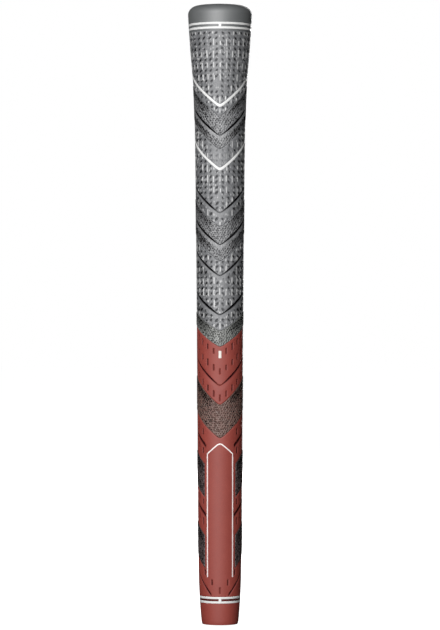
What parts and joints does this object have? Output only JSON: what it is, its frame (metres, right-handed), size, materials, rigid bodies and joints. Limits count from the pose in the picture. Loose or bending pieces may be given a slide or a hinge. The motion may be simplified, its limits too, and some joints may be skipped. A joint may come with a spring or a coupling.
{
  "type": "golf grip",
  "caption": "Tapered rubber sleeve for a golf club shaft: corded upper half, plain rubber lower half, mesh chevron bands, painted rings and panel line, vented end cap.",
  "frame": {"origin": "centre of the bore's open mouth, on the grip's axis", "axes": "+Z along the axis from the mouth to the end cap; -Y out of the front, where the outlined panel and the alignment dash are; +X to the right of someone who faces the panel with the cap up"},
  "size_m": [0.0278, 0.0278, 0.27],
  "materials": {
    "cap_rubber": "smooth matt dark grey moulded rubber",
    "core_rubber": "matt black rubber",
    "corded_rubber": "grey rubber with cotton cord, pitted, rough",
    "mesh_rubber": "dark rubber with a fine moulded mesh",
    "plain_rubber": "soft brick red rubber with moulded slits, matt",
    "paint": "white paint filled into grooves"
  },
  "bodies": {
    "root": {"end_cap": "cap_rubber", "core_sleeve": "core_rubber", "cord_section_upper": "corded_rubber", "cord_section_middle": "corded_rubber", "cord_section_lower": "corded_rubber", "mesh_band_upper": "mesh_rubber", "mesh_band_middle": "mesh_rubber", "mesh_band_boundary": "mesh_rubber", "mesh_band_lower": "mesh_rubber", "side_inlay_upper": "mesh_rubber", "side_inlay_lower": "mesh_rubber", "rubber_section_upper": "plain_rubber", "rubber_section_lower": "plain_rubber", "chevron_stripe_upper": "paint", "chevron_stripe_lower": "paint", "cap_rings": "paint", "mouth_rings": "paint", "alignment_dash": "paint", "panel_outline": "paint"}
  },
  "joints": []
}
